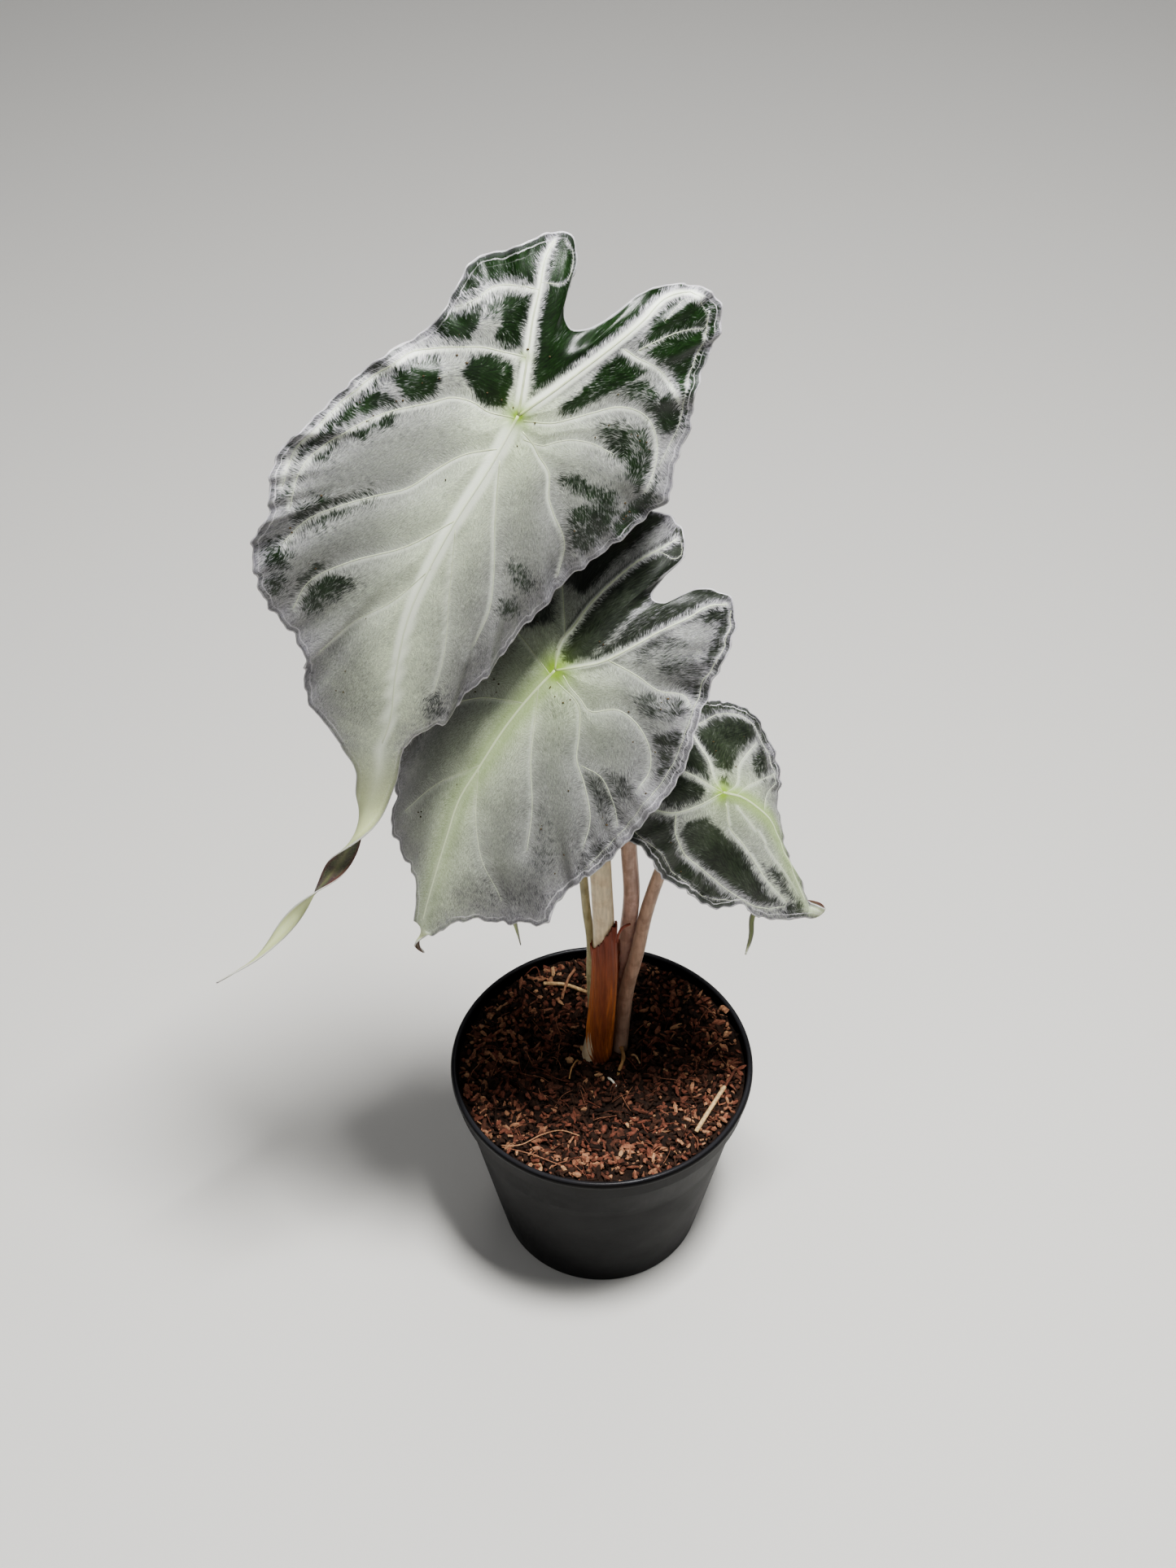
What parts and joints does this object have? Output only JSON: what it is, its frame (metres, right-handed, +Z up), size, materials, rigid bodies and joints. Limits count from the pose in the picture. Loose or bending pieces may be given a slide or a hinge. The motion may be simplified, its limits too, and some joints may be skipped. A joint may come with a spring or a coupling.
{
  "type": "potted venom alocasia",
  "caption": "Young alocasia with silver-white arrow-shaped leaves on tall stems, rooted in coarse mix in a round nursery pot.",
  "frame": {"origin": "middle of the pot's flat underside", "axes": "+Z up, -Y towards the viewer of the picture, +X to the viewer's right"},
  "size_m": [0.214, 0.12, 0.4521],
  "materials": {
    "pot_plastic": "satin",
    "potting_mix": "matte",
    "root": "matte",
    "stem_pale": "satin",
    "stem_mottled": "satin",
    "stem_olive": "satin",
    "dry_sheath": "matte",
    "leaf": "satin"
  },
  "bodies": {
    "root": {"pot": "pot_plastic", "potting_mix": "potting_mix", "root_crown": "root", "petiole_large": "stem_pale", "petiole_medium": "stem_mottled", "petiole_small": "stem_olive", "petiole_hidden": "stem_olive", "dry_sheath": "dry_sheath", "dry_sheath_scrap": "dry_sheath", "leaf_large": "leaf", "leaf_medium": "leaf", "leaf_small": "leaf", "leaf_hidden": "leaf"}
  },
  "joints": []
}
